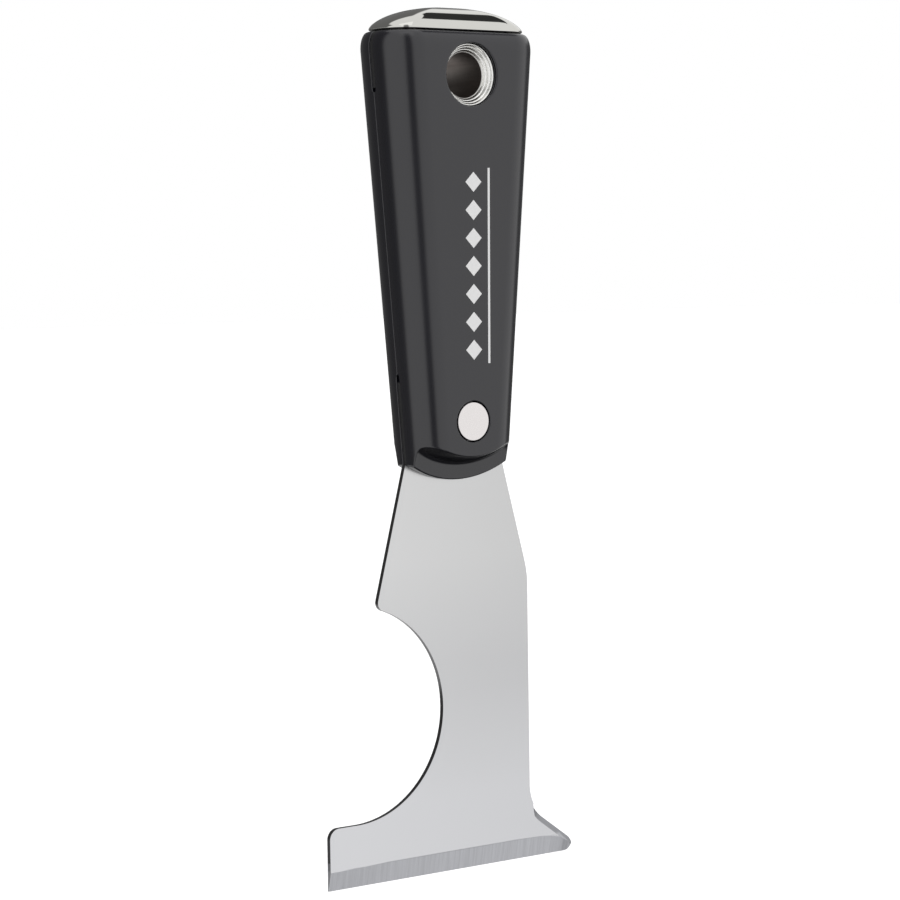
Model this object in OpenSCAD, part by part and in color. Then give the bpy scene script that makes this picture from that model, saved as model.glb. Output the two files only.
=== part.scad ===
// Painters multi tool: ground steel blade with a full tang, two moulded handle scales,
// a domed hammer cap on two pinned lugs, a lined hang hole and a compression rivet.
// Origin: centre of the hang hole. +X to the right of the bevelled side, +Y to the back, +Z to the cap.

/* [Handle] */
// Half width of the handle level with the hang hole
handle_half_w = 21; // [20:0.5:22]
// Half width of the handle near the blade
end_half_w = 13.67; // [13:0.5:14.5]
// Half thickness of the handle level with the hang hole
handle_half_t = 9.71; // [9.5:0.1:10.5]
// Half thickness of the handle near the blade
end_half_t = 8.28; // [8.2:0.1:8.8]
// Distance from the hang hole to the level where the end sizes are taken
taper_run = 90; // [88:1:92]
// Side rounding as a share of the half thickness
side_round = 0.88; // [0.8:0.02:0.94]
// Height of the handle's top above the hang hole
handle_top = 9.9; // [9.7:0.1:10.5]
// How far the shoulder draws in at the top
shoulder_in = 2.2; // [1.5:0.1:2.5]
// Height over which the shoulder draws in
shoulder_h = 4.5; // [3.5:0.5:5]
// Lowest point of the handle's rounded end, below the hang hole
handle_end = 93; // [92:0.5:94]
// Radius of the rounded end, seen from the front
end_r = 26.8; // [25:0.2:29]

/* [Finger step] */
// Radius of the step's upper edge, about the same centre as the rounded end
step_r = 21.2; // [20.5:0.1:22]
// Spread of the step's wall, length for each unit of depth
step_slope = 0.35; // [0.2:0.05:0.6]
// Half thickness left at the end of the handle, below the step
floor_end_t = 2.17; // [2:0.05:3]
// Rise of the step's floor for each unit of length upwards
floor_slope = 0.27; // [0.1:0.01:0.35]

/* [Blade] */
// Thickness of the steel
blade_t = 1.2; // [1:0.1:1.4]
// Distance from the hang hole down to the cutting edge
edge_z = 185.06; // [183:0.5:187]
// Height of the ground bevel
bevel_h = 4.9; // [4:0.1:6]
// Thickness left at the cutting edge
edge_t = 0.25; // [0.15:0.05:0.4]
// Half width of the neck where it leaves the handle
neck_half_w = 14; // [13.8:0.1:14.2]
// Sideways spread of the neck for each unit of length
neck_spread = 0.268; // [0.25:0.002:0.28]
// Straight right-hand side of the blade
side_x = 21.3; // [21:0.1:22]
// Left-hand side of the scraper edge
wing_x = 36.7; // [36.5:0.1:38]
// Corner radius of the left wing
wing_r = 2.5; // [2:0.1:3]
// Radius of the roller-cleaning notch
notch_r = 25; // [24.5:0.1:25.2]
// Notch centre, to the left of the axis
notch_x = 29.15; // [29:0.05:29.5]
// Notch centre, below the hang hole
notch_z = 145.7; // [145:0.1:146.5]
// Radius of the corner between the neck and the notch
notch_corner_r = 2; // [1.5:0.1:2.5]
// Radius of the curve into the pointed corner
flare_r = 10.4; // [10:0.1:11]
// Level where that curve begins, below the hang hole
flare_z = 167.5; // [167:0.1:168]
// Slope of the pointed corner's upper edge, degrees below level
flare_slope = 36; // [35:0.5:38]
// Radius of the point
tip_r = 1.9; // [1.5:0.1:2.1]
// Width of the ground strip along the pointed corner
flare_bevel = 1.5; // [1:0.1:1.8]

/* [Tang] */
// Half width of the tang's hidden middle
tang_mid_w = 9; // [8:0.5:9.5]
// Top of the lower stretch where the tang's edges show, below the hang hole
tang_low_z = 70; // [68:1:72]
// Bottom of the upper stretch where the tang's edges show, below the hang hole
tang_high_z = 3; // [2:0.5:4]
// How far the tang's shown edges lie inside the handle's sides
tang_inset = 0.15; // [0.1:0.05:0.3]

/* [Hammer cap] */
// Height of the dome above its rim
cap_h = 5.5; // [5:0.1:6]
// Gap that shows between the handle and the cap's rim
cap_gap = 0.3; // [0.2:0.1:0.5]
// Distance of each lug's pin from the axis
lug_x = 13.5; // [13:0.1:13.8]
// Radius of the two hidden cap pins
cap_pin_r = 1.25; // [1:0.05:1.4]

/* [Hang hole] */
// Bore of the eyelet
eye_bore_r = 5.2; // [5:0.1:5.4]
// Outside of the eyelet's flange and of its washer
eye_flange_r = 7.05; // [6.9:0.05:7.1]
// How far the flange lies below the handle's face
eye_recess = 1.1; // [0.8:0.1:1.2]

/* [Rivet] */
// Rivet's distance below the hang hole
rivet_z = 79.3; // [79:0.1:80]
// Radius of the two rivet heads
rivet_head_r = 4.4; // [4.2:0.1:4.5]
// Radius of the post that is pressed into the socket
rivet_post_r = 1.9; // [1.7:0.1:2]

/* [Hidden] */
$fn = 64;
hull_fn = 32;          // facets round each corner of a hulled form
slice_t = 0.01;        // thickness of a slice in a hulled form
half_t = blade_t / 2;
past = 1;              // how far a cutter runs past what it cuts

// Handle
shoulder_steps = 6;
end_c = handle_end - end_r;               // centre of the rounded end, below the hang hole
step_face = handle_half_t - (handle_half_t - end_half_t) * (end_c + step_r) / taper_run;
cone_run = 12;                            // length of the cone that cuts the step's wall
boss_r = 1.5;
boss_gap = 0.1;
boss_h = 3;
bosses = [[14, -14], [12.5, -50]];        // locating bosses, one pair on each side
core_w = 6.5;                             // half width of the cored-out pockets
core_wall = 2.4;                          // thickness left in front of a pocket
core_top = 12;                            // first pocket's top, below the hang hole
core_pitch = 19.5;
core_len = 16.5;

// Blade
tip_cz = edge_z - tip_r;
flare_tan = [side_x + flare_r - flare_r * sin(flare_slope), flare_z + flare_r * cos(flare_slope)];
tip_cx = flare_tan[0] + (tip_cz - flare_tan[1] - tip_r / cos(flare_slope)) / tan(flare_slope);
neck_z = end_c + sqrt(end_r * end_r - neck_half_w * neck_half_w);
neck_len = sqrt(1 + neck_spread * neck_spread);
shoulder_blend = 22;                      // radius of the blend from the neck to the straight side
notch_facets = 36;
flare_facets = 10;
flare_ground = 5;                         // how many of the curve's chords are ground

// Cap
cap_rim_z = handle_top + cap_gap;
plinth_in = 0.8;
cap_slices = 9;
lug_w = 2.5;                              // half width of a lug
lug_t = 2.6;                              // half thickness of a lug
lug_low = -1;
pin_z = 3;
lug_gap = 0.1;

// Hang hole
eye_wall = 0.5;
eye_front = handle_half_t - eye_recess;   // level of the flange's rim, from the middle
eye_seat = 1.1;                           // height of the flange's straight outside
eye_cone = 1.6;                           // height of the flange's tapered underside
eye_gap = 0.1;                            // clearance round the barrel and in the seat
eye_steps = 3;
washer_t = 0.6;
roll_t = 0.45;

// Rivet
rivet_face = taper(handle_half_t, end_half_t, -rivet_z) - 0.07;
head_t = 1.6;
socket_r = 2.7;
rivet_gap = 0.1;
head_gap = 0.2;
post_reach = 4;

// Size at height z on a straight taper
function taper(at_hole, at_end, z) = at_hole + (at_hole - at_end) * z / taper_run;
function half_w(z) = taper(handle_half_w, end_half_w, z);
function half_b(z) = taper(handle_half_t, end_half_t, z);
function shoulder_z(i) = handle_top - shoulder_h * (1 - sin(90 * i / shoulder_steps));
function shoulder_inset(i) = shoulder_in * (1 - cos(90 * i / shoulder_steps));
function arc(c, r, from, to, n) = [for (i = [0:n]) c + r * [cos(from + (to - from) * i / n),
                                                           sin(from + (to - from) * i / n)]];

// One slice of a rounded oblong, for hulling
module slice(z, w, b, r) {
    for (sx = [-1, 1], sy = [-1, 1])
        translate([sx * (w - r), sy * (b - r), z]) cylinder(r = r, h = slice_t, $fn = hull_fn);
}

// The whole handle's outer form, before its end is shaped
module handle_form() {
    hull() {
        for (i = [0:shoulder_steps]) {
            z = shoulder_z(i);
            d = shoulder_inset(i);
            slice(z - slice_t, half_w(z) - d, half_b(z) - d, side_round * half_b(z) - d);
        }
        z = -handle_end - past;
        slice(z, half_w(z), half_b(z), side_round * half_b(z));
    }
}

module across(y, z) translate([0, y, -z]) rotate([-90, 0, 0]) children();

// Half thickness of the handle on the step's floor, at height z
function floor_y(z) = floor_end_t + floor_slope * (z + handle_end);

// Rounded end, and the wall and sloping floor of the finger step on the front side
module end_cutter() {
    difference() {
        translate([-30, -30, -handle_end - 5]) cube([60, 60, handle_end + 5 - end_c]);
        across(-30, end_c) cylinder(r = end_r, h = 60);
    }
    difference() {
        translate([-30, -cone_run, -handle_end - 5]) cube([60, cone_run, handle_end - end_c - 5]);
        across(-cone_run, end_c)
            cylinder(r1 = step_r - (cone_run - step_face) * step_slope,
                     r2 = step_r + step_face * step_slope, h = cone_run);
        low = -handle_end - 6;
        high = -end_c;
        translate([-31, 0, 0]) rotate([90, 0, 90]) linear_extrude(62)
            polygon([[-floor_y(high), high], [past, high], [past, low], [-floor_y(low), low]]);
    }
}

// Right-hand edge of the tang from the neck to the top; out moves the stretches that show
function tang_edge(out) = concat(
    [[half_w(-neck_z) + out, -neck_z], [half_w(-tang_low_z) + out, -tang_low_z],
     [tang_mid_w, -tang_low_z + 4], [tang_mid_w, -tang_high_z - 6],
     [half_w(-tang_high_z) + out - 2, -tang_high_z - 1.5], [half_w(-tang_high_z) + out, -tang_high_z]],
    [for (i = [0:shoulder_steps])
        [half_w(shoulder_z(i)) - shoulder_inset(i) + out, shoulder_z(i)]]);

function mirrored(points) = [for (i = [len(points) - 1:-1:0]) [-points[i][0], points[i][1]]];

module plate(t) rotate([90, 0, 0]) translate([0, 0, -t / 2]) linear_extrude(t) children();

module tang_pocket() {
    plate(blade_t) polygon(concat([[neck_half_w + 3, -handle_end - past]], tang_edge(3),
                                  mirrored(tang_edge(3)), [[-neck_half_w - 3, -handle_end - past]]));
}

// Moulded half shell on the front side: end, tang pocket, cored pockets, lug pockets, rivet hole
module scale_shell() {
    difference() {
        handle_form();
        translate([-40, 0, -150]) cube([80, 40, 200]);
        end_cutter();
        tang_pocket();
        for (i = [0:2])
            translate([-core_w, -half_b(-core_top - i * core_pitch) + core_wall,
                       -core_top - i * core_pitch - core_len])
                cube([2 * core_w, 20, core_len]);
        for (s = [-1, 1])
            translate([s * lug_x - lug_w - lug_gap, -lug_t - lug_gap, lug_low - lug_gap])
                cube([2 * (lug_w + lug_gap), 20, 30]);
        across(-20, rivet_z) cylinder(r = socket_r + rivet_gap, h = 40);
        across(-20, rivet_z) cylinder(r = rivet_head_r + head_gap, h = 20 - rivet_face + head_t);
    }
}

module front_scale() {
    seat_y = eye_front - eye_seat;
    color([0.1, 0.1, 0.11]) union() {
        difference() {
            scale_shell();
            across(-20, 0) cylinder(r = eye_bore_r + eye_wall + eye_gap, h = 40);
            across(-20, 0) cylinder(r = eye_flange_r + eye_gap, h = 20 - seat_y);
            across(-seat_y, 0) cylinder(r1 = eye_flange_r + eye_gap,
                                        r2 = eye_bore_r + eye_wall + eye_gap, h = eye_cone);
        }
        for (s = [-1, 1], p = bosses)
            translate([s * p[0], -1, p[1]]) rotate([-90, 0, 0]) cylinder(r = boss_r, h = 1 + boss_h);
    }
}

module back_scale() {
    color([0.1, 0.1, 0.11]) difference() {
        mirror([0, 1, 0]) scale_shell();
        across(-20, 0) cylinder(r = eye_bore_r + eye_wall + eye_gap, h = 40);
        across(eye_front - washer_t - roll_t, 0) cylinder(r = eye_flange_r + eye_gap, h = 20);
        for (s = [-1, 1], p = bosses)
            translate([s * p[0], -1, p[1]]) rotate([-90, 0, 0])
                cylinder(r = boss_r + boss_gap, h = 1 + boss_h + boss_gap);
    }
}

// Centre of the rounded corner between the neck's left edge and the notch:
// one corner radius inside the neck's edge, and that much outside the notch's circle
function corner_centre() =
    let (n = [1, -neck_spread] / neck_len, d = [-neck_spread, -1] / neck_len,
         p = [-neck_half_w, -neck_z] + notch_corner_r * n, q = p - [-notch_x, -notch_z],
         b = q * d, c = q * q - pow(notch_r + notch_corner_r, 2))
    p + d * (-b - sqrt(b * b - c));

// The blade's edge below the handle, from the neck's left corner round to its right corner
function blade_edge() =
    let (turn = atan(neck_spread), c = corner_centre(), notch_c = [-notch_x, -notch_z],
         wing_c = [-wing_x + wing_r, -notch_z - notch_r - wing_r],
         out = c - notch_c, facing = atan2(out[1], out[0]),
         blend_x = side_x - shoulder_blend,
         blend_z = -neck_z - (side_x - neck_half_w - shoulder_blend * (1 - cos(turn))) / neck_spread
                   - shoulder_blend * sin(turn))
    concat([[-neck_half_w, -neck_z]],
           arc(c, notch_corner_r, 180 - turn, 180 + facing, 8),
           arc(notch_c, notch_r, facing, -90, notch_facets),
           arc(wing_c, wing_r, 90, 180, 6),
           [[-wing_x, -edge_z]],
           arc([tip_cx, -tip_cz], tip_r, -90, 90 - flare_slope, 8),
           arc([side_x + flare_r, -flare_z], flare_r, 270 - flare_slope, 180, flare_facets),
           arc([blend_x, blend_z], shoulder_blend, 0, turn, 6),
           [[neck_half_w, -neck_z]]);

// Wedge ground off the front along a straight edge that runs along +X from the origin
module grind(length, width, depth) {
    rotate([90, 0, 90]) linear_extrude(length)
        polygon([[-half_t - past, -past], [-half_t + depth * (1 + past / width), -past],
                 [-half_t - depth * past / width, width + past], [-half_t - past, width + past]]);
}

// Second ground strip: along the last chords of the curve and the upper edge of the pointed corner
module flare_grind() {
    turn = (90 - flare_slope) / flare_facets;
    drop = blade_t - edge_t;
    for (i = [0:flare_ground]) {
        from = 270 - flare_slope - i * turn;
        start = [side_x + flare_r * (1 + cos(from)), -flare_z + flare_r * sin(from)];
        slope = i == 0 ? flare_slope : 270 - from - turn / 2;
        translate([start[0], 0, start[1]]) rotate([0, slope, 0]) mirror([0, 0, 1])
            grind(i == 0 ? 20 : 2 * flare_r * sin(turn / 2), flare_bevel, drop);
    }
}

module blade() {
    color([0.78, 0.78, 0.8]) difference() {
        plate(blade_t)
            polygon(concat(blade_edge(), tang_edge(-tang_inset), mirrored(tang_edge(-tang_inset))));
        translate([-wing_x - past, 0, -edge_z]) grind(80, bevel_h, blade_t - edge_t);
        flare_grind();
        across(-5, 0) cylinder(r = eye_bore_r + eye_wall + eye_gap, h = 10);
        across(-5, rivet_z) cylinder(r = socket_r + rivet_gap, h = 10);
        for (s = [-1, 1]) translate([s * lug_x, 0, 0]) across(-5, -pin_z) cylinder(r = cap_pin_r, h = 10);
    }
}

// Domed cap: a plinth on the handle's top, the dome, and two slotted lugs that straddle the tang
module hammer_cap() {
    rim_w = half_w(handle_top) - shoulder_in;
    rim_b = half_b(handle_top) - shoulder_in;
    rim_r = side_round * half_b(handle_top) - shoulder_in;
    color([0.85, 0.85, 0.86]) difference() {
        union() {
            hull() for (i = [0:cap_slices]) {
                t = 0.995 * sin(90 * i / cap_slices);
                w = rim_w * pow(1 - pow(t, 1.5), 0.44);
                b = rim_b * pow(1 - pow(t, 1.6), 0.5);
                slice(cap_rim_z + cap_h * t, w, b, b * rim_r / rim_b);
            }
            hull() slice_pair(rim_w - plinth_in, rim_b - plinth_in, rim_r - plinth_in);
            for (s = [-1, 1])
                translate([s * lug_x - lug_w, -lug_t, lug_low])
                    cube([2 * lug_w, 2 * lug_t, cap_rim_z + past - lug_low]);
        }
        translate([-25, -half_t, lug_low - past]) cube([50, blade_t, handle_top + past - lug_low]);
        for (s = [-1, 1]) translate([s * lug_x, 0, 0]) across(-5, -pin_z) cylinder(r = cap_pin_r, h = 10);
    }
}

module slice_pair(w, b, r) {
    slice(handle_top, w, b, r);
    slice(cap_rim_z + past, w, b, r);
}

module cap_pins() {
    color([0.5, 0.5, 0.52]) for (s = [-1, 1])
        translate([s * lug_x, 0, 0]) across(-lug_t, -pin_z) cylinder(r = cap_pin_r, h = 2 * lug_t);
}

// Eyelet's profile: x is the radius, y the depth from the front rim; the funnel falls in steps
module eyelet() {
    depth = eye_seat + eye_cone;
    funnel = eye_flange_r - 0.25 - eye_bore_r;
    barrel = 2 * eye_front;
    inside = [for (i = [0:eye_steps - 1], k = [0, 1])
        [eye_bore_r + funnel * (1 - (i + 0.25 * k) / eye_steps),
         (depth - eye_wall) * (i + k) / eye_steps]];
    color([0.85, 0.85, 0.83]) across(-eye_front, 0) rotate_extrude()
        polygon(concat(inside,
            [[eye_bore_r, depth - eye_wall], [eye_bore_r, barrel], [eye_flange_r - 0.4, barrel],
             [eye_flange_r - 0.4, barrel - roll_t], [eye_bore_r + eye_wall, barrel - roll_t],
             [eye_bore_r + eye_wall, depth], [eye_flange_r, eye_seat], [eye_flange_r, 0]]));
}

module eyelet_washer() {
    color([0.8, 0.8, 0.8]) across(eye_front - roll_t - washer_t, 0) difference() {
        cylinder(r = eye_flange_r, h = washer_t);
        translate([0, 0, -past]) cylinder(r = eye_bore_r + eye_wall, h = washer_t + 2 * past);
    }
}

module rivet_post() {
    color([0.9, 0.9, 0.89]) across(-rivet_face, rivet_z) {
        cylinder(r = rivet_head_r, h = head_t);
        cylinder(r = rivet_post_r, h = rivet_face + post_reach);
    }
}

module rivet_socket() {
    color([0.9, 0.9, 0.89]) across(-rivet_face + head_t, rivet_z) difference() {
        union() {
            cylinder(r = socket_r, h = 2 * rivet_face - head_t - past);
            translate([0, 0, 2 * (rivet_face - head_t)]) cylinder(r = rivet_head_r, h = head_t);
        }
        translate([0, 0, -past]) cylinder(r = rivet_post_r, h = past + rivet_face - head_t + post_reach);
    }
}

blade();
front_scale();
back_scale();
hammer_cap();
cap_pins();
eyelet();
eyelet_washer();
rivet_post();
rivet_socket();
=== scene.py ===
"""Looks for the painters multi tool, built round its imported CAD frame.

Sizes in the section below are in millimetres, as in the CAD source, and pieces are made in metres.
X is to the right of the bevelled side, Y to the back, Z up; the origin is the hang hole's centre.
"""
import math

import bmesh
import bpy
import numpy as np
from mathutils import Matrix, Vector


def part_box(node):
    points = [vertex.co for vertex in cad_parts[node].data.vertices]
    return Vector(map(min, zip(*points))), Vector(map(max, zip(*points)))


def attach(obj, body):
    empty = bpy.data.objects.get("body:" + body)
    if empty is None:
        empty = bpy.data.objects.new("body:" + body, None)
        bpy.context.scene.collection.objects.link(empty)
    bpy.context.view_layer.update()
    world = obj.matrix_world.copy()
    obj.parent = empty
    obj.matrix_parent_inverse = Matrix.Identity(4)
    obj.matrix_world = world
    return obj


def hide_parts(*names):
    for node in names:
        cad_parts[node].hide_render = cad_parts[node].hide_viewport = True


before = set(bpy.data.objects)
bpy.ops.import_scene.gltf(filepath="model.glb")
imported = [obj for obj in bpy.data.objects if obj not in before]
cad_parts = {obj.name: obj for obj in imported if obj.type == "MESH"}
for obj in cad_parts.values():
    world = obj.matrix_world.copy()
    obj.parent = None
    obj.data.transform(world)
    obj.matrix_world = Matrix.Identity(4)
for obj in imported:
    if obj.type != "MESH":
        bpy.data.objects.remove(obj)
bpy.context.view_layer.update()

MM = 0.001

# ---------------------------------------------------------------- sizes, in mm
TAPER_RUN = 90.0                       # from the hang hole to where the end sizes hold
HALF_W = (21.0, 13.67)                 # handle's half width at the hole and at the end
HALF_T = (9.71, 8.28)                  # its half thickness there
SIDE_ROUND = 0.88
HANDLE_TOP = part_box("front_scale")[1][2] / MM
HANDLE_END = -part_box("front_scale")[0][2] / MM
SHOULDER_IN, SHOULDER_H = 2.2, 4.5
PART_LINE_R, END_EDGE_R = 0.3, 0.3     # rounding along the part line and round the end
END_R = 26.8
END_C = HANDLE_END - END_R             # centre of the rounded end, below the hole
STEP_TOP, STEP_FOOT = (8.32, 68.2, 19.2), (3.2, 60.65, 28.3)  # half thickness, arc's centre and radius
FLOOR_END, FLOOR_SLOPE = 2.17, 0.27    # half thickness at the handle's end, and its rise
STEP_HALF_W, STEP_SIDE_R = 13.55, 1.6  # where the step's wall fades out to the sides, and how softly
STEP_ROOT_R = 0.7                      # rounding where the wall meets the floor
CORE_HALF_W, CORE_WALL = 6.5, 2.4      # cored-out pockets inside a scale
CORE_TOP, CORE_LEN, CORE_PITCH, CORE_COUNT = 12.0, 16.5, 19.5, 3

BLADE_T = 1.2
EDGE_Z = -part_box("blade")[0][2] / MM
EDGE_T = 0.25
# upper line of the ground bevel, hollowed a little by hand grinding and turned down at the point
BEVEL_LINE = [(-60, -180.6), (-36, -180.55), (-30, -180.35), (-20, -180.15), (0, -180.1), (14, -180.12),
              (24, -180.26), (27.4, -180.55), (30.5, -181.2), (31.5, -181.55), (33, -182.3), (36, -184)]
NECK_HALF_W, NECK_SPREAD = 14.0, 0.268
SIDE_X, SHOULDER_BLEND = 21.3, 22.0
WING_X, WING_R = -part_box("blade")[0][0] / MM, 2.5
NOTCH_R, NOTCH_X, NOTCH_Z, NOTCH_CORNER_R = 25.0, 29.15, 145.7, 2.0
FLARE_R, FLARE_Z, FLARE_SLOPE, FLARE_BEVEL, TIP_R = 10.4, 167.5, math.radians(36), 1.5, 1.9
GROUND_POINTS = 13                     # how many of that curve's 25 points are ground
TANG_MID_W, TANG_LOW_Z, TANG_HIGH_Z, TANG_INSET = 9.0, 70.0, 3.0, 0.3

CAP_RIM_Z, CAP_H, PLINTH_IN = HANDLE_TOP + 0.3, 5.5, 0.8
LUG_X, LUG_W, LUG_T, LUG_LOW = 13.5, 2.5, 2.6, -1.0

EYE_BORE_R, EYE_FLANGE_R, EYE_WALL = 5.2, 7.05, 0.5
EYE_FRONT = -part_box("eyelet")[0][1] / MM
EYE_SEAT, EYE_CONE, EYE_GAP = 1.1, 1.6, 0.1
WASHER_T, ROLL_T = 0.6, 0.45

RIVET_Z, RIVET_HEAD_R, RIVET_POST_R, SOCKET_R = 79.3, 4.4, 1.9, 2.7
RIVET_FACE = -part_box("rivet_post")[0][1] / MM
HEAD_T, HEAD_GAP = 1.6, 0.36


def taper(ends, z):
    """Size at height z of something that runs straight from its size at the hole to its end size."""
    return ends[0] + (ends[0] - ends[1]) * z / TAPER_RUN


# ---------------------------------------------------------------- meshes
def mesh_object(name, verts, faces, smooth=True):
    """A new object from vertices in mm."""
    mesh = bpy.data.meshes.new(name)
    mesh.from_pydata([tuple(float(c) * MM for c in v) for v in verts], [], faces)
    mesh.update()
    if smooth:
        mesh.shade_smooth()
    obj = bpy.data.objects.new(name, mesh)
    bpy.context.collection.objects.link(obj)
    return obj


def modified(obj, kind, **settings):
    modifier = obj.modifiers.new(kind.lower(), kind)
    for key, value in settings.items():
        setattr(modifier, key, value)
    return modifier


def apply_modifiers(obj):
    graph = bpy.context.evaluated_depsgraph_get()
    mesh = bpy.data.meshes.new_from_object(obj.evaluated_get(graph))
    obj.modifiers.clear()
    obj.data = mesh


def soften(obj, width, segments=2, angle=30):
    """Small rounded edges with clean shading."""
    modified(obj, "BEVEL", width=width * MM, segments=segments, limit_method="ANGLE",
             angle_limit=math.radians(angle), harden_normals=True)
    apply_modifiers(obj)


def arc(centre, radius, start, stop, count):
    """Points on an arc between two angles, in radians."""
    return [(centre[0] + radius * math.cos(a), centre[1] + radius * math.sin(a))
            for a in np.linspace(start, stop, count + 1)]


def turned(name, profile, z, facets=128):
    """A ring or disc turned about the Y axis at height z; profile is (radius, y) points in order."""
    verts, faces = [], []
    count = len(profile)
    for k in range(facets):
        a = 2 * math.pi * k / facets
        verts += [(r * math.cos(a), y, z + r * math.sin(a)) for r, y in profile]
    for k in range(facets):
        here, there = k * count, (k + 1) % facets * count
        for i in range(count):
            j = (i + 1) % count
            faces.append((here + i, here + j, there + j, there + i))
    obj = mesh_object(name, verts, faces)
    clean = bmesh.new()
    clean.from_mesh(obj.data)
    bmesh.ops.remove_doubles(clean, verts=clean.verts, dist=1e-7)
    bmesh.ops.recalc_face_normals(clean, faces=clean.faces)
    clean.to_mesh(obj.data)
    clean.free()
    return obj


def rounded_profile(points, radius, count=4):
    """The closed profile with each corner cut back by radius and rounded."""
    out = []
    for i, p in enumerate(points):
        p = np.array(p, float)
        before, after = (np.array(points[i + s], float) if i + s < len(points)
                         else np.array(points[0], float) for s in (-1, 1))
        if p[0] == 0:
            out.append(tuple(p))
            continue
        a, b = ((q - p) / np.linalg.norm(q - p) * min(radius, 0.45 * np.linalg.norm(q - p))
                for q in (before, after))
        for t in np.linspace(0, 1, count + 1):
            out.append(tuple(p + a * (1 - t) ** 2 + b * t ** 2))
    return out


# ---------------------------------------------------------------- smooth solids from distance fields
def smooth_max(a, b, k):
    """The larger of two fields, with the edge between them rounded over about k."""
    h = np.maximum(k - np.abs(a - b), 0) / k
    return np.maximum(a, b) + h * h * k / 4


def smooth_min(a, b, k):
    return -smooth_max(-a, -b, k)


def gradient(field, p, step=0.01):
    out = np.empty_like(p)
    for axis in range(3):
        d = np.zeros(3)
        d[axis] = step
        out[:, axis] = (field(*(p + d).T) - field(*(p - d).T)) / (2 * step)
    return out


def crossing_points(values, lines):
    """For each grid cell, the sum and the count of the points where the field crosses its edges."""
    shape = [n - 1 for n in values.shape]
    total, hits = np.zeros(shape + [3]), np.zeros(shape)
    for axis in range(3):
        low = np.take(values, range(values.shape[axis] - 1), axis)
        high = np.take(values, range(1, values.shape[axis]), axis)
        cross = (low < 0) != (high < 0)
        share = np.where(cross, low / np.where(cross, low - high, 1), 0)
        grid = np.meshgrid(*[line[:-1] if a == axis else line for a, line in enumerate(lines)],
                           indexing="ij")
        span = np.diff(lines[axis]).reshape([-1 if a == axis else 1 for a in range(3)])
        grid[axis] = grid[axis] + share * span
        others = [a for a in range(3) if a != axis]
        for i in (0, 1):
            for j in (0, 1):
                cut = [slice(None)] * 3
                cut[others[0]] = slice(i, shape[others[0]] + i)
                cut[others[1]] = slice(j, shape[others[1]] + j)
                cut = tuple(cut)
                hits += cross[cut]
                total += np.stack([g[cut] * cross[cut] for g in grid], -1)
    return total, hits


def net_faces(values, index):
    """A quad across each grid edge that the surface crosses, facing out of the solid."""
    faces = []
    inner = slice(1, -1)
    for axis in range(3):
        b, c = (axis + 1) % 3, (axis + 2) % 3
        low = np.take(values, range(values.shape[axis] - 1), axis) < 0
        high = np.take(values, range(1, values.shape[axis]), axis) < 0
        keep = [slice(None)] * 3
        keep[b] = keep[c] = inner
        low, high = low[tuple(keep)], high[tuple(keep)]
        for out, flip in ((low & ~high, False), (~low & high, True)):
            cells = list(np.nonzero(out))
            corners = []
            for db, dc in ((0, 0), (1, 0), (1, 1), (0, 1)):
                at = list(cells)
                at[b] = cells[b] + db
                at[c] = cells[c] + dc
                corners.append(index[tuple(at)])
            quads = np.stack(corners, 1)
            faces.append(quads[:, ::-1] if flip else quads)
    return np.concatenate(faces)


def solid_from_field(name, field, lines):
    """The surface where field is zero, on a grid with those lines, moved exactly onto the surface."""
    values = field(*np.meshgrid(*lines, indexing="ij"))
    total, hits = crossing_points(values, lines)
    used = hits > 0
    index = np.full(hits.shape, -1)
    index[used] = np.arange(used.sum())
    points = total[used] / hits[used][:, None]
    faces = net_faces(values, index)
    for _ in range(4):
        slope = gradient(field, points)
        step = field(*points.T)[:, None] * slope / np.maximum((slope ** 2).sum(1), 0.05)[:, None]
        points = points - np.clip(step, -0.15, 0.15)
    normals = gradient(field, points)
    normals /= np.linalg.norm(normals, axis=1)[:, None]
    obj = mesh_object(name, points, faces.tolist())
    obj.data.normals_split_custom_set_from_vertices([tuple(n) for n in normals])
    return obj


# ---------------------------------------------------------------- handle scales
def rounded_oblong(x, y, z):
    """Distance to the handle's outer form, with its drawn-in shoulder."""
    w, b = taper(HALF_W, z), taper(HALF_T, z)
    r = SIDE_ROUND * b
    qx, qy = np.abs(x) - (w - r), np.abs(y) - (b - r)
    section = np.hypot(np.maximum(qx, 0), np.maximum(qy, 0)) + np.minimum(np.maximum(qx, qy), 0) - r
    rise = np.clip((z - HANDLE_TOP + SHOULDER_H) / SHOULDER_H, 0, 1)
    inset = SHOULDER_IN * (1 - np.sqrt(1 - 0.995 * rise ** 2))
    return smooth_max(section + inset, z - HANDLE_TOP, 0.5)


def end_form(x, y, z):
    """Distance to the rounded end, and to the wall and sloping floor of the finger step."""
    end = np.where(z < -END_C, np.hypot(x, z + END_C), np.abs(x)) - END_R
    half = np.abs(y)
    share = (half - STEP_TOP[0]) / (STEP_FOOT[0] - STEP_TOP[0])
    centre, radius = (STEP_TOP[i] + (STEP_FOOT[i] - STEP_TOP[i]) * share for i in (1, 2))
    wall = (np.hypot(x, z + centre) - radius) * 0.92
    wall = np.where(z > -centre - 3, -5, wall)
    wall = smooth_min(wall, STEP_HALF_W - np.abs(x), STEP_SIDE_R)
    floor = (half - FLOOR_END - FLOOR_SLOPE * (z + HANDLE_END)) / math.hypot(1, FLOOR_SLOPE)
    return end, smooth_min(wall, floor, STEP_ROOT_R)


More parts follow.
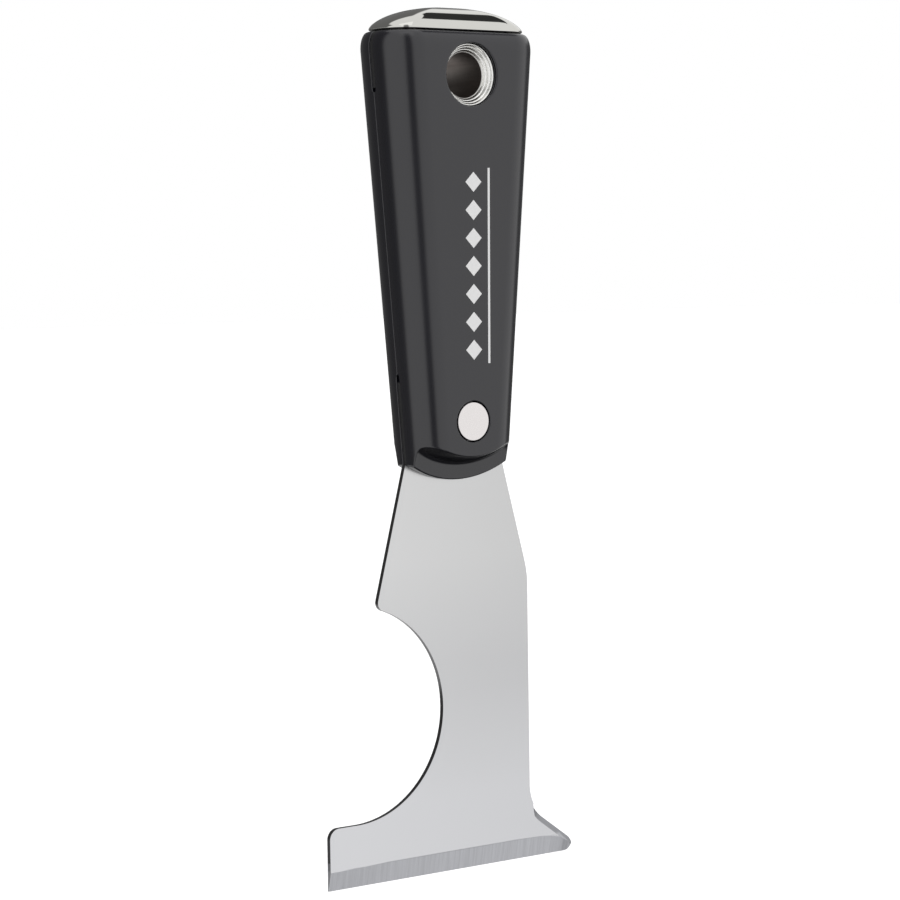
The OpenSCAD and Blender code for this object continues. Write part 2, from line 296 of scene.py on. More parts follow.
def tang_room(x, y, z):
    """Distance to the pocket that the tang lies in, open at the sides where its edges show."""
    low = np.clip((z + TANG_LOW_Z) / 4, 0, 1)
    high = np.clip((-TANG_HIGH_Z - z) / 4, 0, 1)
    width = taper(HALF_W, z) + 3
    half = TANG_MID_W + (width - TANG_MID_W) * np.maximum(1 - low, 1 - high)
    return np.maximum(np.abs(y) - BLADE_T / 2, (np.abs(x) - half) * 0.7)


def box_room(dx, dy, dz):
    return np.maximum(np.maximum(dx, dy), dz)


def scale_field(seat_r, seat_y, seat_cone):
    """The front scale's field; y is negative in it. The back one is its mirror image."""
    barrel_r = EYE_BORE_R + EYE_WALL + EYE_GAP

    def field(x, y, z):
        body = rounded_oblong(x, y, z)
        end, step = end_form(x, y, z)
        body = smooth_max(body, step, END_EDGE_R)
        body = smooth_max(body, end, END_EDGE_R)
        body = smooth_max(body, y, PART_LINE_R)
        depth = -y
        eye = np.hypot(x, z)
        seat = np.maximum(eye - seat_r, seat_y - depth)
        cone = np.maximum(eye - np.interp(depth, [seat_y - seat_cone, seat_y], [barrel_r, seat_r]),
                          depth - seat_y) * 0.7
        eye_room = np.minimum(np.minimum(seat, cone), eye - barrel_r)
        body = smooth_max(body, -eye_room, 0.55)
        rivet = np.hypot(x, z + RIVET_Z)
        head = np.maximum(rivet - RIVET_HEAD_R - HEAD_GAP, RIVET_FACE - HEAD_T - depth)
        body = smooth_max(body, -np.minimum(head, rivet - SOCKET_R - 0.1), 0.2)
        body = smooth_max(body, -tang_room(x, y, z), 0.25)
        lug = box_room(np.abs(np.abs(x) - LUG_X) - LUG_W - 0.1, depth - LUG_T - 0.1, LUG_LOW - 0.1 - z)
        core_z = z + CORE_TOP + CORE_LEN / 2
        nearest = -CORE_PITCH * np.clip(np.round(-core_z / CORE_PITCH), 0, CORE_COUNT - 1)
        core = box_room(np.abs(x) - CORE_HALF_W, depth - (taper(HALF_T, z) - CORE_WALL),
                        np.abs(core_z - nearest) - CORE_LEN / 2)
        return smooth_max(body, -np.minimum(lug, core), 0.3)
    return field


def grid_lines(low, high, fine, coarse, spans):
    """Grid lines from low to high, fine inside the spans and coarse between them."""
    out = [low]
    while out[-1] < high:
        near = any(a <= out[-1] < b for a, b in spans)
        out.append(out[-1] + (fine if near else coarse))
    return np.array(out)


def scale_piece(name, side):
    """A handle scale with its true fillets; side is -1 for the front and 1 for the back."""
    seat_y = EYE_FRONT - (EYE_SEAT if side < 0 else WASHER_T + ROLL_T)
    front = scale_field(EYE_FLANGE_R + EYE_GAP, seat_y, EYE_CONE if side < 0 else 0.01)
    features = [(-HANDLE_END - 1, -RIVET_Z + 6), (-EYE_FLANGE_R - 2, HANDLE_TOP + 1)]
    across = np.concatenate([np.arange(-10.4, -1.4, 0.28), np.arange(-1.36, 0.5, 0.2)])
    lines = [np.arange(-22.4, 22.6, 0.3) + 0.013,
             np.sort(-side * across),
             grid_lines(-HANDLE_END - 0.7, HANDLE_TOP + 0.6, 0.25, 1.4, features)]
    return solid_from_field(name, lambda x, y, z: front(x, -side * y, z), lines)


# ---------------------------------------------------------------- blade
def corner_centre():
    """Centre of the rounded corner between the neck's left edge and the notch."""
    length = math.hypot(1, NECK_SPREAD)
    n = np.array([1, -NECK_SPREAD]) / length
    d = np.array([-NECK_SPREAD, -1]) / length
    p = np.array([-NECK_HALF_W, -neck_z()]) + NOTCH_CORNER_R * n
    q = p - np.array([-NOTCH_X, -NOTCH_Z])
    b, c = q @ d, q @ q - (NOTCH_R + NOTCH_CORNER_R) ** 2
    return p + d * (-b - math.sqrt(b * b - c))


def neck_z():
    return END_C + math.sqrt(END_R ** 2 - NECK_HALF_W ** 2)


def tip_centre():
    z = EDGE_Z - TIP_R
    tangent = (SIDE_X + FLARE_R * (1 - math.sin(FLARE_SLOPE)), FLARE_Z + FLARE_R * math.cos(FLARE_SLOPE))
    return tangent[0] + (z - tangent[1] - TIP_R / math.cos(FLARE_SLOPE)) / math.tan(FLARE_SLOPE), -z


def flare_arc(offset):
    """The curve into the pointed corner, moved into the steel by offset, from the tip's side up."""
    return arc((SIDE_X + FLARE_R, -FLARE_Z), FLARE_R + offset, 1.5 * math.pi - FLARE_SLOPE, math.pi, 24)


def shoulder(i):
    """Half width and height of the i-th of nine points, 0 to 8, up the drawn-in shoulder."""
    a = math.pi / 2 * i / 8
    z = HANDLE_TOP - SHOULDER_H * (1 - math.sin(a))
    return taper(HALF_W, z) - SHOULDER_IN * (1 - math.cos(a)), z


def blade_outline():
    """The whole blade seen from the front, from the neck's left corner round to it again."""
    turn = math.atan(NECK_SPREAD)
    c = corner_centre()
    facing = math.atan2(c[1] + NOTCH_Z, c[0] + NOTCH_X)
    blend_x = SIDE_X - SHOULDER_BLEND
    blend_z = (-neck_z() - SHOULDER_BLEND * math.sin(turn)
               - (SIDE_X - NECK_HALF_W - SHOULDER_BLEND * (1 - math.cos(turn))) / NECK_SPREAD)
    below = [(-NECK_HALF_W, -neck_z())]
    below += arc(c, NOTCH_CORNER_R, math.pi - turn, math.pi + facing, 12)
    below += arc((-NOTCH_X, -NOTCH_Z), NOTCH_R, facing, -math.pi / 2, 120)
    below += arc((WING_R - WING_X, -NOTCH_Z - NOTCH_R - WING_R), WING_R, math.pi / 2, math.pi, 12)
    below += [(-WING_X, -EDGE_Z)]
    below += arc(tip_centre(), TIP_R, -math.pi / 2, math.pi / 2 - FLARE_SLOPE, 20)
    below += flare_arc(0)
    below += arc((blend_x, blend_z), SHOULDER_BLEND, 0, turn, 14)
    below += [(NECK_HALF_W, -neck_z())]
    tang = [(taper(HALF_W, z) - TANG_INSET, z) for z in (-neck_z(), -TANG_LOW_Z)]
    tang += [(TANG_MID_W, -TANG_LOW_Z + 4), (TANG_MID_W, -TANG_HIGH_Z - 6)]
    wide = taper(HALF_W, -TANG_HIGH_Z) - TANG_INSET
    tang += [(wide - 2, -TANG_HIGH_Z - 1.5), (wide, -TANG_HIGH_Z)]
    tang += [(w - TANG_INSET, z) for w, z in (shoulder(i) for i in range(9))]
    return below + tang + [(-x, z) for x, z in reversed(tang)]


def prism(name, outline, low, high):
    """A flat plate with that outline in X and Z, from y = low to y = high."""
    count = len(outline)
    verts = [(x, low, z) for x, z in outline] + [(x, high, z) for x, z in outline]
    faces = [tuple(range(count)), tuple(reversed(range(count, 2 * count)))]
    faces += [(i, i + count, (i + 1) % count + count, (i + 1) % count) for i in range(count)]
    obj = mesh_object(name, verts, faces, smooth=False)
    shape = bmesh.new()
    shape.from_mesh(obj.data)
    bmesh.ops.remove_doubles(shape, verts=shape.verts, dist=1e-7)
    bmesh.ops.recalc_face_normals(shape, faces=shape.faces)
    shape.to_mesh(obj.data)
    shape.free()
    return obj


def cut(obj, *tools):
    for tool in tools:
        modified(obj, "BOOLEAN", operation="DIFFERENCE", solver="EXACT", object=tool)
        apply_modifiers(obj)
        bpy.data.objects.remove(tool)


def wedge_sweep(name, outer, inner):
    """Cutter for a ground strip between an outer edge and an inner line, given point by point."""
    verts, faces = [], []
    drop = BLADE_T - EDGE_T
    front = -BLADE_T / 2
    for (x0, z0), (x1, z1) in zip(outer, inner):
        dx, dz = x0 - x1, z0 - z1
        verts += [(x1 - dx * 0.6, front - drop * 0.6, z1 - dz * 0.6),
                  (x0 + dx * 0.6, front + drop * 1.6, z0 + dz * 0.6),
                  (x0 + dx * 0.6, front - drop * 0.6, z0 + dz * 0.6)]
    for i in range(len(outer) - 1):
        a, b = 3 * i, 3 * i + 3
        faces += [(a + j, a + (j + 1) % 3, b + (j + 1) % 3, b + j) for j in range(3)]
    last = 3 * (len(outer) - 1)
    faces += [(2, 1, 0), (last, last + 1, last + 2)]
    obj = mesh_object(name, verts, faces, smooth=False)
    shape = bmesh.new()
    shape.from_mesh(obj.data)
    bmesh.ops.recalc_face_normals(shape, faces=shape.faces)
    shape.to_mesh(obj.data)
    shape.free()
    return obj


def flare_lines():
    """Outer edge and inner line of the strip ground along the pointed corner; it runs out to nothing."""
    direction = np.array([math.cos(FLARE_SLOPE), -math.sin(FLARE_SLOPE)])
    lines = []
    for offset in (0, FLARE_BEVEL):
        curve = flare_arc(offset)[:GROUND_POINTS]
        along = [tuple(np.array(curve[0]) + direction * s) for s in (20, 10)]
        lines.append(along + curve)
    outer, inner = lines
    share = [min(1, 0.06 + (len(outer) - 1 - i) / 7) for i in range(len(outer))]
    inner = [(a[0] + (b[0] - a[0]) * s, a[1] + (b[1] - a[1]) * s) for a, b, s in zip(outer, inner, share)]
    return outer, inner


def blade_piece():
    blade = prism("blade_steel", blade_outline(), -BLADE_T / 2, BLADE_T / 2)
    edge = wedge_sweep("edge_cutter", [(x, -EDGE_Z) for x, _ in BEVEL_LINE], BEVEL_LINE)
    flare = wedge_sweep("flare_cutter", *flare_lines())
    holes = [turned("hole_cutter", [(0, -5), (0, 5), (r, 5), (r, -5)], z, 64)
             for r, z in ((EYE_BORE_R + EYE_WALL + EYE_GAP, 0), (SOCKET_R + 0.1, -RIVET_Z))]
    cut(blade, edge, flare, *holes)
    soften(blade, 0.05)
    return blade


# ---------------------------------------------------------------- hammer cap
def oblong_ring(w, b, r, z, per_corner=14, long_side=16, short_side=4):
    """Points round a rounded oblong at height z."""
    ring = []
    corners = ((1, 1, 0), (-1, 1, 1), (-1, -1, 2), (1, -1, 3))
    for k, (sx, sy, quarter) in enumerate(corners):
        start = quarter * math.pi / 2
        ring += arc((sx * (w - r), sy * (b - r)), r, start, start + math.pi / 2, per_corner)
        nx, ny, turn = corners[(k + 1) % 4]
        end = arc((nx * (w - r), ny * (b - r)), r, turn * math.pi / 2, turn * math.pi / 2, 1)[0]
        count = long_side if k % 2 == 0 else short_side
        last = ring[-1]
        ring += [(last[0] + (end[0] - last[0]) * i / count, last[1] + (end[1] - last[1]) * i / count)
                 for i in range(1, count)]
    return [(x, y, z) for x, y in ring]


def cap_piece():
    """Chromed dome with a small rounded rim and a plinth that stands on the handle."""
    w = taper(HALF_W, HANDLE_TOP) - SHOULDER_IN
    b = taper(HALF_T, HANDLE_TOP) - SHOULDER_IN
    r = SIDE_ROUND * taper(HALF_T, HANDLE_TOP) - SHOULDER_IN
    rings = [oblong_ring(w - PLINTH_IN, b - PLINTH_IN, r - PLINTH_IN, z) for z in (HANDLE_TOP, CAP_RIM_Z)]
    lip = 0.22
    for a in np.linspace(0, math.pi / 2, 5):
        inset = lip * (1 - math.sin(a))
        rings.append(oblong_ring(w - inset, b - inset, r - inset, CAP_RIM_Z + lip * (1 - math.cos(a))))
    steps = 40
    for i in range(1, steps + 1):
        t = 0.9995 * math.sin(math.pi / 2 * i / steps)
        dome_w, dome_b = w * (1 - t ** 1.5) ** 0.44, b * (1 - t ** 1.6) ** 0.5
        rings.append(oblong_ring(dome_w, dome_b, dome_b * r / b,
                                 CAP_RIM_Z + lip + (CAP_H - lip) * t))
    count = len(rings[0])
    verts = [v for ring in rings for v in ring]
    faces = [tuple(reversed(range(count))), tuple(range(len(verts) - count, len(verts)))]
    for k in range(len(rings) - 1):
        for i in range(count):
            j = (i + 1) % count
            faces.append((k * count + i, k * count + j, (k + 1) * count + j, (k + 1) * count + i))
    cap = mesh_object("hammer_cap_chrome", verts, faces)
    modified(cap, "WEIGHTED_NORMAL", keep_sharp=True)
    apply_modifiers(cap)
    return cap


def cap_lugs():
    """The two slotted lugs under the cap that straddle the tang."""
    lugs = []
    for side in (-1, 1):
        for face in (-1, 1):
            x = side * LUG_X
            outline = [(x - LUG_W, LUG_LOW), (x + LUG_W, LUG_LOW), (x + LUG_W, HANDLE_TOP + 0.5),
                       (x - LUG_W, HANDLE_TOP + 0.5)]
            y = sorted((face * BLADE_T / 2, face * LUG_T))
            name = "cap_lug_" + ("left", "right")[side > 0] + ("_front", "_back")[face > 0]
            lug = prism(name, outline, *y)
            soften(lug, 0.3)
            lugs.append(lug)
    return lugs


# ---------------------------------------------------------------- hang hole and rivet
def eyelet_piece():
    """Hollow rivet: a funnel that falls in small rounded steps, a straight barrel, a rolled rear edge."""
    depth = EYE_SEAT + EYE_CONE
    funnel = EYE_FLANGE_R - 0.25 - EYE_BORE_R
    steps = 3
    front, rear = -EYE_FRONT, EYE_FRONT
    inside = [(EYE_BORE_R + funnel * (1 - (i + 0.7 * k) / steps),
               front + (depth - EYE_WALL) * (i + k) / steps)
              for i in range(steps) for k in (0, 1)]
    outside = [(EYE_BORE_R, front + depth - EYE_WALL), (EYE_BORE_R, rear), (EYE_FLANGE_R - 0.4, rear),
               (EYE_FLANGE_R - 0.4, rear - ROLL_T), (EYE_BORE_R + EYE_WALL, rear - ROLL_T),
               (EYE_BORE_R + EYE_WALL, front + depth), (EYE_FLANGE_R, front + EYE_SEAT),
               (EYE_FLANGE_R, front)]
    return turned("eyelet_nickel", rounded_profile(inside + outside, 0.24), 0)


def washer_piece():
    y = EYE_FRONT - ROLL_T
    ring = [(EYE_BORE_R + EYE_WALL, y - WASHER_T), (EYE_BORE_R + EYE_WALL, y), (EYE_FLANGE_R, y),
            (EYE_FLANGE_R, y - WASHER_T)]
    return turned("eyelet_washer_nickel", rounded_profile(ring, 0.15), 0)


def rivet_pieces():
    face, inner = RIVET_FACE, RIVET_FACE - HEAD_T
    post = [(0, -face), (RIVET_HEAD_R, -face), (RIVET_HEAD_R, -inner), (RIVET_POST_R, -inner),
            (RIVET_POST_R, 4), (0, 4)]
    socket = [(0, face), (RIVET_HEAD_R, face), (RIVET_HEAD_R, inner), (SOCKET_R, inner), (SOCKET_R, -inner),
              (RIVET_POST_R, -inner), (RIVET_POST_R, 4), (0, 4)]
    return (turned("rivet_post_steel", rounded_profile(post, 0.1), -RIVET_Z),
            turned("rivet_socket_steel", rounded_profile(socket, 0.1), -RIVET_Z))


# ---------------------------------------------------------------- materials
class Nodes:
    """Short names for building a material's nodes."""

    def __init__(self, name):
        self.material = bpy.data.materials.new(name)
        self.material.use_nodes = True
        self.tree = self.material.node_tree
        self.shader = self.tree.nodes["Principled BSDF"]

    def add(self, kind, inputs=None, **settings):
        node = self.tree.nodes.new("ShaderNode" + kind)
        for key, value in settings.items():
            setattr(node, key, value)
        for key, value in (inputs or {}).items():
            self.put(node.inputs[key], value)
        return node

    def put(self, socket, value):
        if isinstance(value, bpy.types.NodeSocket):
            self.tree.links.new(value, socket)
        else:
            socket.default_value = value

    def set(self, **inputs):
        for key, value in inputs.items():
            self.put(self.shader.inputs[key.replace("_", " ")], value)

    def place(self):
        return self.add("TexCoord").outputs["Object"]

    def stretched(self, scale):
        return self.add("Mapping", {"Vector": self.place(), "Scale": scale}).outputs["Vector"]

    def noise(self, vector, scale, detail=3.0, roughness=0.5):
        inputs = {"Vector": vector, "Scale": scale, "Detail": detail, "Roughness": roughness}
        return self.add("TexNoise", inputs).outputs["Fac"]

    def between(self, value, low, high, out_low, out_high):
        inputs = {"Value": value, "From Min": low, "From Max": high, "To Min": out_low, "To Max": out_high}
        return self.add("MapRange", inputs, clamp=True).outputs["Result"]

    def math(self, operation, *values):
        node = self.add("Math", operation=operation)
        for socket, value in zip(node.inputs, values):
            self.put(socket, value)
        return node.outputs[0]

    def mix(self, share, a, b):
        node = self.add("Mix", data_type="RGBA")
        self.put(node.inputs[0], share)
        self.put(node.inputs[6], a)
        self.put(node.inputs[7], b)
        return node.outputs[2]

    def bump(self, height, strength, distance):
        inputs = {"Height": height, "Strength": strength, "Distance": distance}
        return self.add("Bump", inputs).outputs["Normal"]


def grey(value, blue=1.0):
    return (value, value, value * blue, 1)


def print_mask(n):
    """A plain printed strip of diamonds beside a thin rule, on the front face."""
    x, y, z = n.add("SeparateXYZ", {"Vector": n.place()}).outputs
    low, high, pitch, size, rule = -66 * MM, -21.2 * MM, 6.4 * MM, 2.3 * MM, 0.3 * MM
    inside = n.math("MULTIPLY", n.math("GREATER_THAN", z, low), n.math("LESS_THAN", z, high))
    front = n.math("LESS_THAN", y, -6 * MM)
    inside = n.math("MULTIPLY", inside, front)
    across = n.math("ABSOLUTE", n.math("SUBTRACT", x, 0.2 * MM))
    phase = n.math("MODULO", n.math("SUBTRACT", z, low), pitch)
    along = n.math("ABSOLUTE", n.math("SUBTRACT", phase, pitch / 2))
    diamond = n.math("LESS_THAN", n.math("ADD", across, along), size)
    line = n.math("LESS_THAN", n.math("ABSOLUTE", n.math("SUBTRACT", x, 4.6 * MM)), rule)
    return n.math("MULTIPLY", inside, n.math("MAXIMUM", diamond, line))


def nylon(name, printed):
    """Black moulded nylon: fine grain, faint flow marks, softly uneven gloss."""
    n = Nodes(name)
    grain = n.noise(n.place(), 2600, 2)
    cloud = n.noise(n.stretched((1, 1, 0.25)), 90, 4)
    colour = n.mix(cloud, (0.0060, 0.0056, 0.0105, 1), (0.0090, 0.0086, 0.0145, 1))
    rough = n.between(cloud, 0.3, 0.7, 0.20, 0.25)
    if printed:
        ink = print_mask(n)
        colour = n.mix(ink, colour, (0.9, 0.9, 0.9, 1))
        rough = n.math("ADD", rough, n.math("MULTIPLY", ink, 0.15))
    n.set(Base_Color=colour, Roughness=rough, Normal=n.bump(grain, 0.06, 0.00005))
    n.shader.inputs["IOR"].default_value = 1.66
    return n.material


def polished_steel(name):
    """Satin polished sheet, with the ground edges rougher and streaked across, and sides darker than the
    faces.

    Its tone changes slowly over the blade, as painted shade and a painted reflection: darker to the right and
    level with the notch, bluer low down, and dark along the ground strip at the pointed corner.
    """
    n = Nodes(name)
    x, y, z = n.add("SeparateXYZ", {"Vector": n.place()}).outputs
    half = BLADE_T / 2 * MM
    ground = n.math("MULTIPLY", n.math("GREATER_THAN", y, -half + 0.00002), n.math("LESS_THAN", z, -0.165))
    ground = n.math("MULTIPLY", ground, n.math("LESS_THAN", y, half - 0.00002))
    lines = n.noise(n.stretched((60, 60, 2.5)), 60, 4, 0.6)
    cloud = n.noise(n.place(), 30, 3)
    # Painted shade: the face is lighter on the left and darker on the right.
    left = n.mix(cloud, (0.67, 0.67, 0.672, 1), (0.69, 0.69, 0.692, 1))
    right = n.mix(cloud, (0.59, 0.59, 0.592, 1), (0.61, 0.61, 0.612, 1))
    plain = n.mix(n.between(x, -0.03, 0.026, 0, 1), left, right)
    # Painted reflection: the face turns bluer low down.
    plain = n.mix(n.between(z, -0.17, -0.11, 0, 1), n.mix(0.5, plain, (0.65, 0.655, 0.69, 1)), plain)
    # Painted shade: a darker band across the blade level with the notch.
    painted_shade_band = n.between(n.math("ABSOLUTE", n.math("ADD", z, 0.139)), 0.003, 0.028, 0.09, 0)
    plain = n.mix(painted_shade_band, plain, (0, 0, 0, 1))
    streaks = n.noise(n.stretched((1100, 60, 26)), 2.2, 6, 0.7)
    ground_streaks_and_shade = n.mix(n.between(streaks, 0.3, 0.7, 0, 1), (0.455, 0.46, 0.485, 1), (0.585, 0.59, 0.62, 1))
    # The streaks on the ground strip are real grinding marks; its darkening along the pointed corner and at
    # the tip is painted shade.
    tip = n.between(n.math("ADD", x, z), -0.15, -0.1494, 0, 0.45)
    flare = n.math("MAXIMUM", n.between(z, -0.18055, -0.18, 0, 0.45), tip)
    ground_streaks_and_shade = n.mix(flare, ground_streaks_and_shade, (0.16, 0.16, 0.17, 1))
    rough = n.between(lines, 0.3, 0.7, 0.25, 0.27)
    rough = n.math("ADD", rough, n.math("MULTIPLY", ground, 0.15))
    height = n.math("ADD", n.math("MULTIPLY", lines, 0.03), n.math("MULTIPLY", streaks, ground))
    # The sides are darker than the faces, except near the cutting edge and along the pointed corner.
    wall = n.math("LESS_THAN", n.math("ABSOLUTE", y), half - 0.00006)
    plain_side = n.math("MULTIPLY", n.math("LESS_THAN", x, 0.018), n.math("GREATER_THAN", z, -0.1785))
    wall = n.math("MULTIPLY", wall, n.math("MAXIMUM", plain_side, n.math("GREATER_THAN", z, -0.168)))
    darker_side_tone = n.mix(cloud, (0.1, 0.1, 0.102, 1), (0.16, 0.16, 0.163, 1))
    colour = n.mix(wall, n.mix(ground, plain, ground_streaks_and_shade), darker_side_tone)
    n.set(Base_Color=colour, Roughness=rough, Normal=n.bump(height, 0.1, 0.00003))
    n.shader.inputs["Metallic"].default_value = 1.0
    return n.material


def bright_metal(name, low, high, rough, tint=(1, 1, 1), marks=0.03, grain=160):
    """Plated or turned metal: slow tone changes, fine scratches in its gloss and height."""
    n = Nodes(name)
    cloud = n.noise(n.place(), grain, 3)
    scratches = n.noise(n.stretched((1, 6, 1)), 900, 3, 0.7)
    colour = n.mix(cloud, tinted(low, tint), tinted(high, tint))
    gloss = n.between(scratches, 0.3, 0.7, *rough)
    n.set(Base_Color=colour, Roughness=gloss, Normal=n.bump(scratches, marks, 0.00002))
    n.shader.inputs["Metallic"].default_value = 1.0
    return n.material


def tinted(value, tint):
    return (value * tint[0], value * tint[1], value * tint[2], 1)


def lined_nickel(name):
    """Bright plate on the rims; in the barrel rough, dark and drawn lengthwise, with a painted reflection: a
    soft lighter stripe.
    """
    n = Nodes(name)
    x, y, z = n.add("SeparateXYZ", {"Vector": n.place()}).outputs
    across = n.math("SQRT", n.math("ADD", n.math("MULTIPLY", x, x), n.math("MULTIPLY", z, z)))
    inside = n.between(across, EYE_BORE_R * MM + 0.00025, EYE_BORE_R * MM + 0.0001, 0, 1)
    deep = n.between(y, (EYE_WALL - EYE_FRONT + EYE_SEAT + EYE_CONE - 1.2) * MM,
                     (EYE_WALL - EYE_FRONT + EYE_SEAT + EYE_CONE - 0.8) * MM, 0, 1)
    inside = n.math("MULTIPLY", inside, deep)
    cloud = n.noise(n.place(), 240, 3)
    drawn = n.noise(n.stretched((6, 0.5, 6)), 300, 4, 0.6)
    plate = n.mix(cloud, (0.93, 0.925, 0.90, 1), (0.98, 0.975, 0.95, 1))
    barrel_tone_and_reflection = n.mix(drawn, (0.125, 0.106, 0.096, 1), (0.19, 0.165, 0.15, 1))
    # Painted reflection: a soft lighter stripe across the barrel walls.
    painted_reflection_stripe = n.between(n.math("ABSOLUTE", n.math("SUBTRACT", z, 0.0006)), 0.0022, 0.0004, 0, 0.8)
    painted_reflection_stripe = n.math("MULTIPLY", painted_reflection_stripe, n.between(y, -0.005, 0.005, 0.2, 1))
    barrel_tone_and_reflection = n.mix(painted_reflection_stripe, barrel_tone_and_reflection, (0.36, 0.33, 0.31, 1))
    gloss = n.math("ADD", n.between(cloud, 0.3, 0.7, 0.19, 0.24), n.math("MULTIPLY", inside, 0.3))
    n.set(Base_Color=n.mix(inside, plate, barrel_tone_and_reflection), Roughness=gloss, Normal=n.bump(drawn, 0.05, 0.00002))
    n.shader.inputs["Metallic"].default_value = 1.0
    return n.material


def dress(pieces, material):
    for piece in pieces:
        piece.data.materials.clear()
        piece.data.materials.append(material)


# ---------------------------------------------------------------- stage
def make_camera():
    """Front left of the tool and a little above it, with a long lens."""
    azimuth, elevation, roll = math.radians(36.919), math.radians(3.937), math.radians(0.844)
    distance, aim, shift_right, shift_up = 0.663605, Vector((0, 0, -0.085)), -0.000481, -0.001264
    sin_a, cos_a = math.sin(azimuth), math.cos(azimuth)
    sin_e, cos_e = math.sin(elevation), math.cos(elevation)
    look = Vector((sin_a * cos_e, cos_a * cos_e, -sin_e))
    level = Vector((cos_a, -sin_a, 0))
    upright = Vector((sin_a * sin_e, cos_a * sin_e, cos_e))
    right = math.cos(roll) * level - math.sin(roll) * upright
    up = math.sin(roll) * level + math.cos(roll) * upright
    place = aim + shift_right * right + shift_up * up - distance * look
    data = bpy.data.cameras.new("camera")
    data.sensor_width = 36
    data.lens = 114.13
    data.clip_start, data.clip_end = 0.01, 50
    camera = bpy.data.objects.new("camera", data)
    turn = Matrix((right, up, -look)).transposed().to_4x4()
    camera.matrix_world = Matrix.Translation(place) @ turn
    bpy.context.collection.objects.link(camera)
    bpy.context.scene.camera = camera


def make_world():
    """Studio light: bright, with darker sectors given in degrees; seen directly it is plain white.

    turn runs from the front towards the left of the tool, height from level upwards.
    """
    world = bpy.data.worlds.new("studio")
    bpy.context.scene.world = world
    world.use_nodes = True
    tree = world.node_tree
    tree.nodes.clear()

    def add(kind, **settings):
        node = tree.nodes.new("ShaderNode" + kind)
        for key, value in settings.items():
            setattr(node, key, value)
        return node

    def calc(operation, *values):
        node = add("Math", operation=operation)
        for socket, value in zip(node.inputs, values):
            if isinstance(value, bpy.types.NodeSocket):
                tree.links.new(value, socket)
            else:
                socket.default_value = value
        return node.outputs[0]

    def window(value, low, high, soft):
        """1 between low and high, falling to 0 over soft."""
        parts = []
        for start, stop in ((low - soft, low), (high + soft, high)):
            node = add("MapRange", clamp=True, interpolation_type="SMOOTHSTEP")
            tree.links.new(value, node.inputs["Value"])
            node.inputs["From Min"].default_value = start
            node.inputs["From Max"].default_value = stop
            parts.append(node.outputs["Result"])
        return calc("MULTIPLY", *parts)

    toward = add("TexCoord").outputs["Generated"]
    split = add("SeparateXYZ")
    tree.links.new(toward, split.inputs[0])
    x, y, z = split.outputs
    bearing = calc("ARCTAN2", calc("MULTIPLY", x, -1.0), calc("MULTIPLY", y, -1.0))
    turn = calc("MULTIPLY", bearing, 180 / math.pi)
    height = calc("MULTIPLY", calc("ARCSINE", z), 180 / math.pi)

    def darker(light, share, across, upward):
        """The light with share of it taken away where both windows are 1."""
        loss = calc("MULTIPLY", share, calc("MULTIPLY", across, upward))
        return calc("MULTIPLY", light, calc("SUBTRACT", 1.0, loss))

    behind = calc("MAXIMUM", window(turn, 108, 182, 12), window(turn, -182, -140, 7))
    light = darker(1.0, 0.83, behind, window(height, -16, 56, 6))
    light = darker(light, 0.80, window(turn, 16, 29, 9), window(height, -60, 50, 12))
    light = darker(light, 0.85, window(turn, -140, -94, 14), window(height, -12, 10, 6))
    light = darker(light, 0.96, window(turn, -115, -75, 4), window(height, 47, 55, 1.5))
    below = calc("MAXIMUM", window(turn, -104, -14, 12), window(height, -90, -68, 6))
    light = darker(light, 0.94, window(height, -90, -44, 10), below)

    lit = add("Background")
    tree.links.new(light, lit.inputs["Strength"])
    plain = add("Background")
    plain.inputs["Strength"].default_value = 1.0
    both = add("MixShader")
    tree.links.new(add("LightPath").outputs["Is Camera Ray"], both.inputs[0])
    tree.links.new(lit.outputs[0], both.inputs[1])
    tree.links.new(plain.outputs[0], both.inputs[2])
    tree.links.new(both.outputs[0], add("OutputWorld").inputs["Surface"])
    for node in (lit, plain):
        node.inputs["Color"].default_value = (1, 1, 1, 1)


def make_floor():
    """A wide pale floor below the hanging tool."""
    size, level = 8.0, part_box("blade")[0][2] - 0.09
    mesh = bpy.data.meshes.new("floor")
    mesh.from_pydata([(sx * size, sy * size, level) for sx, sy in ((-1, -1), (1, -1), (1, 1), (-1, 1))],
                     [], [(0, 1, 2, 3)])
    floor = bpy.data.objects.new("floor", mesh)
    bpy.context.collection.objects.link(floor)
    n = Nodes("floor_paper")
    tone = n.noise(n.place(), 3, 2)
    n.set(Base_Color=n.mix(tone, grey(0.86), grey(0.9)), Roughness=0.9, Emission_Color=(1, 1, 1, 1),
          Emission_Strength=0.55)
    mesh.materials.append(n.material)
    floor.visible_glossy = False
    floor.visible_diffuse = False


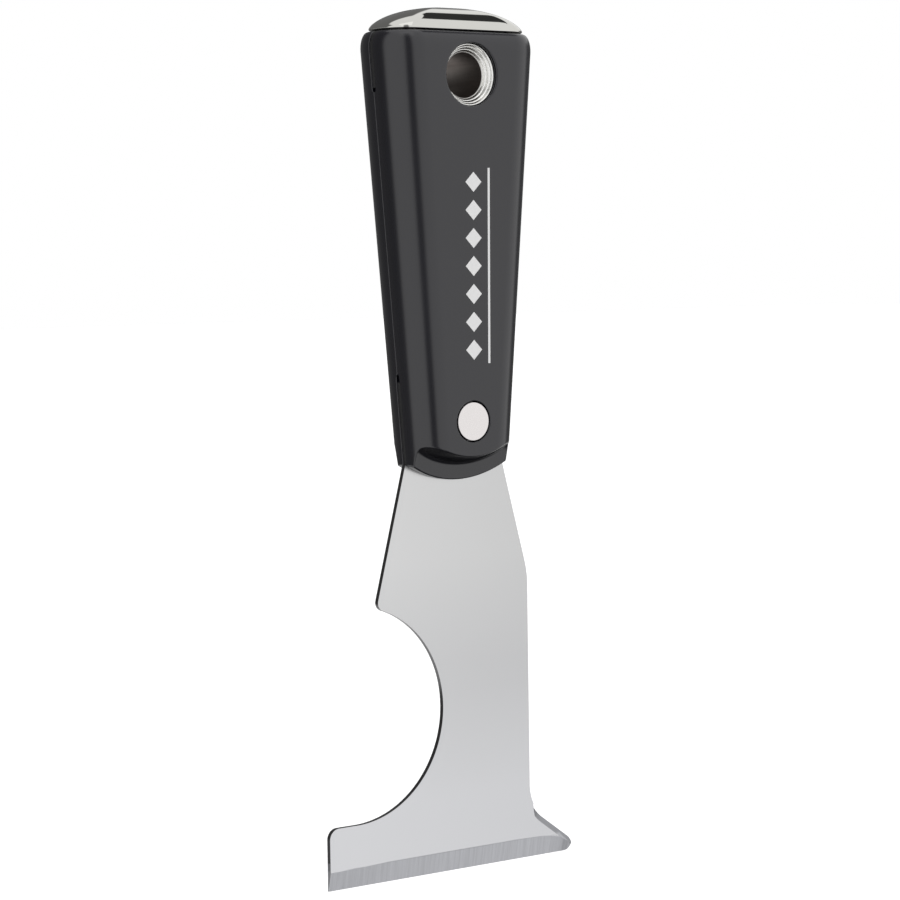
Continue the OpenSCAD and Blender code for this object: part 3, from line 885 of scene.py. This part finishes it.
def make_lamp(name, azimuth, elevation, distance, size, power):
    """A soft square lamp that faces the tool."""
    data = bpy.data.lights.new(name, "AREA")
    data.shape = "SQUARE"
    data.size = size
    data.energy = power
    lamp = bpy.data.objects.new(name, data)
    a, e = math.radians(azimuth), math.radians(elevation)
    aim = Vector((0, 0, -0.08))
    offset = Vector((-math.sin(a) * math.cos(e), -math.cos(a) * math.cos(e), math.sin(e))) * distance
    lamp.location = aim + offset
    lamp.rotation_euler = (-offset).to_track_quat("-Z", "Y").to_euler()
    lamp.visible_camera = False
    bpy.context.collection.objects.link(lamp)


# ---------------------------------------------------------------- the tool
def add_piece(piece, node):
    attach(piece, "root")
    if node:
        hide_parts(node)


def build_tool():
    front = scale_piece("front_scale_nylon", -1)
    back = scale_piece("back_scale_nylon", 1)
    dress([front], nylon("nylon_printed", True))
    dress([back], nylon("nylon", False))
    add_piece(front, "front_scale")
    add_piece(back, "back_scale")

    blade = blade_piece()
    dress([blade], polished_steel("satin_steel"))
    add_piece(blade, "blade")

    cap, lugs = cap_piece(), cap_lugs()
    dress([cap] + lugs, bright_metal("chrome", 0.62, 0.66, (0.03, 0.05), (1, 0.99, 0.94), 0.01))
    add_piece(cap, "hammer_cap")
    for lug in lugs:
        add_piece(lug, None)

    eyelet, washer = eyelet_piece(), washer_piece()
    dress([eyelet, washer], lined_nickel("nickel"))
    add_piece(eyelet, "eyelet")
    add_piece(washer, "eyelet_washer")

    post, socket = rivet_pieces()
    dress([post, socket], bright_metal("rivet_steel", 0.79, 0.81, (0.26, 0.29), (1, 0.96, 0.95), 0.01))
    add_piece(post, "rivet_post")
    add_piece(socket, "rivet_socket")

    pin_metal = bright_metal("pin_steel", 0.45, 0.55, (0.3, 0.35))
    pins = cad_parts["cap_pins"]
    for slot in pins.material_slots:
        slot.material = pin_metal


make_camera()
make_world()
make_floor()
make_lamp("key_lamp", 20, 62, 1.3, 0.8, 0.5)
build_tool()
bpy.context.scene.view_settings.view_transform = "Standard"
